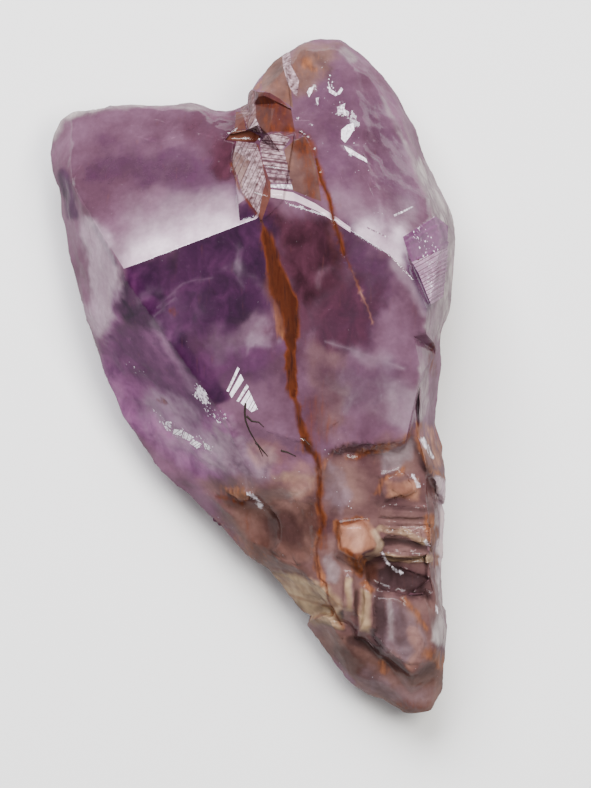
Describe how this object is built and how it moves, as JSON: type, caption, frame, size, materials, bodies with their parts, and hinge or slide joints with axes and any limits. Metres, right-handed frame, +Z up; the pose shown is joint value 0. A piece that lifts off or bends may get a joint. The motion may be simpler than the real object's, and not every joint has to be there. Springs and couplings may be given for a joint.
{
  "type": "rough amethyst crystal with hematite",
  "caption": "Rough twin amethyst crystal with iron-stained veins on a broken, banded quartz root, lying on its back.",
  "frame": {"origin": "on the ground, under the middle of the stone's box", "axes": "+Y from the broken root to the crystal tops, +Z up through the crystal faces, +X to the right crystal"},
  "size_m": [0.0858, 0.1428, 0.049],
  "materials": {
    "amethyst": "translucent natural quartz: glassy crystal faces, duller fractures, rusty veins"
  },
  "bodies": {
    "root": {"amethyst": "amethyst"}
  },
  "joints": []
}
